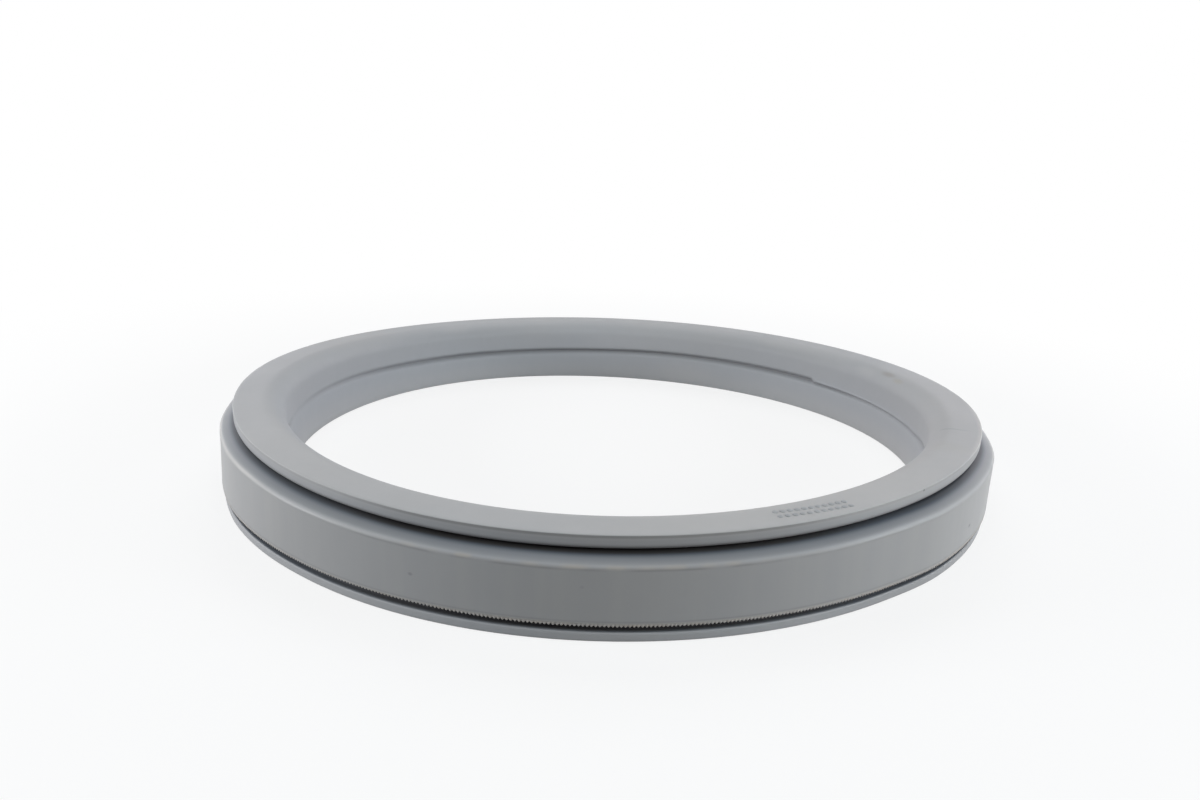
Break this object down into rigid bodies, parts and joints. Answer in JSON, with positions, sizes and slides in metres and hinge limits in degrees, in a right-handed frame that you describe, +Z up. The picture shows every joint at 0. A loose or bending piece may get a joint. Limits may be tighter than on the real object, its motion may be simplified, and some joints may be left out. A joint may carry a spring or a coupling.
{
  "type": "washing machine door seal",
  "caption": "Round grey rubber door seal with a flat front flange, a slot for the front panel edge, a smooth outer wall and a thin rear lip.",
  "frame": {"origin": "centre of the ring on its rear face, the face it rests on", "axes": "+Z up along the ring's axis, from the rear lip to the door flange; -Y towards the viewer of the picture"},
  "size_m": [0.37, 0.37, 0.039],
  "materials": {
    "grey_rubber": "satin moulded rubber"
  },
  "bodies": {
    "root": {"door_seal": "grey_rubber"}
  },
  "joints": []
}
